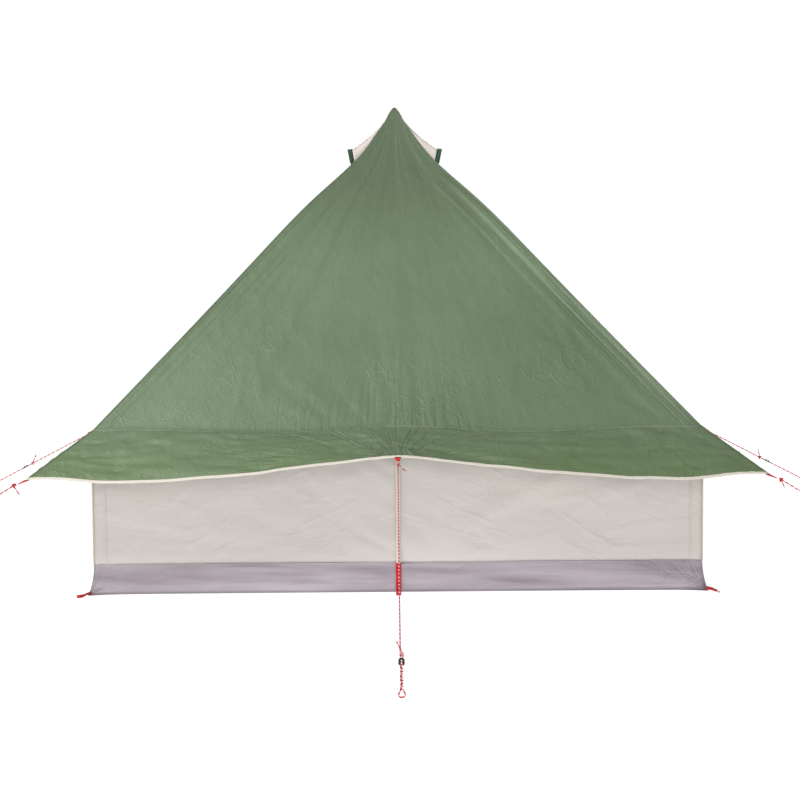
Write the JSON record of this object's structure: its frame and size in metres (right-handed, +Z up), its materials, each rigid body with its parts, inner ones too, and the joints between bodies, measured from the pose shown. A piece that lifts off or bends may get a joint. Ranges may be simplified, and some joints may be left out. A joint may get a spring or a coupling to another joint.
{
  "type": "teepee tent",
  "caption": "Square teepee tent with a centre pole, bathtub groundsheet, low walls, pitched fly with a flared eave, framed door, peak vents and guylines.",
  "frame": {"origin": "on the ground under the peak, at the middle of the groundsheet", "axes": "+Z up, +Y out of the door side, -Y the back of the tent, +X to the right seen from the back"},
  "size_m": [6.2458, 5.3166, 2.572],
  "materials": {
    "floor_cloth": "coated woven groundsheet, satin",
    "wall_cloth": "matt woven polyester",
    "fly_cloth": "matt coated woven polyester",
    "eave_cloth": "matt coated woven polyester",
    "hood_cloth": "matt woven polyester, stiffened edge",
    "mesh": "fine knitted mesh",
    "steel": "zinc-plated tube",
    "black_plastic": "moulded, fine grain",
    "red_webbing": "ribbed webbing",
    "guy_cord": "braided, red with a white fleck",
    "strip": "stiffened webbing strip",
    "zip": "coil zip on woven tape"
  },
  "bodies": {
    "tent": {"groundsheet": "floor_cloth", "wall_back": "wall_cloth", "wall_left": "wall_cloth", "wall_right": "wall_cloth", "wall_front_left": "wall_cloth", "wall_front_right": "wall_cloth", "roof_back": "fly_cloth", "roof_front": "fly_cloth", "roof_left": "fly_cloth", "roof_right": "fly_cloth", "door_canopy": "fly_cloth", "eave_back": "eave_cloth", "eave_left": "eave_cloth", "eave_right": "eave_cloth", "eave_front_left": "eave_cloth", "eave_front_right": "eave_cloth", "peak_cap": "eave_cloth", "vent_mesh_left": "mesh", "vent_mesh_right": "mesh", "pole_lower": "steel", "pole_middle": "steel", "pole_upper": "steel", "door_pole_left": "steel", "door_pole_right": "steel", "pole_foot": "black_plastic", "pole_tip": "black_plastic", "door_pole_elbow": "black_plastic", "peg_strap_back": "red_webbing", "peg_strap_left": "red_webbing", "peg_strap_right": "red_webbing", "peg_loop_back_left": "red_webbing", "peg_loop_back_right": "red_webbing", "peg_loop_front_right": "red_webbing", "peg_loop_front_left": "red_webbing", "fly_tab_back_left": "red_webbing", "fly_tab_back_right": "red_webbing", "fly_tab_front_left": "red_webbing", "fly_tab_front_right": "red_webbing", "hem_tab_back": "red_webbing", "hem_tab_left": "red_webbing", "hem_tab_right": "red_webbing", "guyline_back": "guy_cord", "guyline_left": "guy_cord", "guyline_right": "guy_cord", "guyline_back_left": "guy_cord", "guyline_back_right": "guy_cord"},
    "runner_back": {"runner_back": "black_plastic"},
    "runner_left": {"runner_left": "black_plastic"},
    "runner_right": {"runner_right": "black_plastic"},
    "runner_back_left": {"runner_back_left": "black_plastic"},
    "runner_back_right": {"runner_back_right": "black_plastic"},
    "vent_hood_left": {"vent_hood_left": "hood_cloth"},
    "vent_prop_left": {"vent_prop_left": "strip"},
    "door_leaf_left": {"door_leaf_left": "wall_cloth", "zip_tape_left": "zip"},
    "vent_hood_right": {"vent_hood_right": "hood_cloth"},
    "vent_prop_right": {"vent_prop_right": "strip"},
    "door_leaf_right": {"door_leaf_right": "wall_cloth", "zip_tape_right": "zip"},
    "zip_slider": {"zip_slider": "zip"}
  },
  "joints": [
    {"name": "door_left_swing", "type": "hinge", "parent": "tent", "child": "door_leaf_left", "pos_m": [-0.4588, 1.501, 0.4], "axis": [0.3328, 0, 0.943], "range_deg": [0, 85]},
    {"name": "door_right_swing", "type": "hinge", "parent": "tent", "child": "door_leaf_right", "pos_m": [0.4588, 1.501, 0.4], "axis": [0.3328, 0, -0.943], "range_deg": [0, 85]},
    {"name": "zip_slide", "type": "slide", "parent": "door_leaf_left", "child": "zip_slider", "axis": [0, 0, 1], "range_m": [0, 1.36]},
    {"name": "vent_left_close", "type": "hinge", "parent": "tent", "child": "vent_hood_left", "pos_m": [-0.066, 0, 2.498], "axis": [0, -1, 0], "range_deg": [0, 5]},
    {"name": "vent_prop_left_fold", "type": "hinge", "parent": "vent_hood_left", "child": "vent_prop_left", "pos_m": [-0.254, 0, 2.31], "axis": [0, 1, 0], "range_deg": [0, 45]},
    {"name": "vent_right_close", "type": "hinge", "parent": "tent", "child": "vent_hood_right", "pos_m": [0.066, 0, 2.498], "axis": [0, 1, 0], "range_deg": [0, 5]},
    {"name": "vent_prop_right_fold", "type": "hinge", "parent": "vent_hood_right", "child": "vent_prop_right", "pos_m": [0.254, 0, 2.31], "axis": [0, -1, 0], "range_deg": [0, 45]},
    {"name": "runner_back_slide", "type": "slide", "parent": "tent", "child": "runner_back", "axis": [0, 0.9293, 0.3692], "range_m": [-0.1, 0]},
    {"name": "runner_left_slide", "type": "slide", "parent": "tent", "child": "runner_left", "axis": [0.8899, 0, 0.4562], "range_m": [-0.3, 0]},
    {"name": "runner_right_slide", "type": "slide", "parent": "tent", "child": "runner_right", "axis": [-0.8899, 0, 0.4562], "range_m": [-0.3, 0]},
    {"name": "runner_back_left_slide", "type": "slide", "parent": "tent", "child": "runner_back_left", "axis": [0.6428, 0.6428, 0.4166], "range_m": [-0.3, 0]},
    {"name": "runner_back_right_slide", "type": "slide", "parent": "tent", "child": "runner_back_right", "axis": [-0.6428, 0.6428, 0.4166], "range_m": [-0.3, 0]}
  ],
  "couplings": [
    {"joint": "vent_prop_left_fold", "follows": "vent_left_close", "ratio": 9},
    {"joint": "vent_prop_right_fold", "follows": "vent_right_close", "ratio": 9}
  ]
}
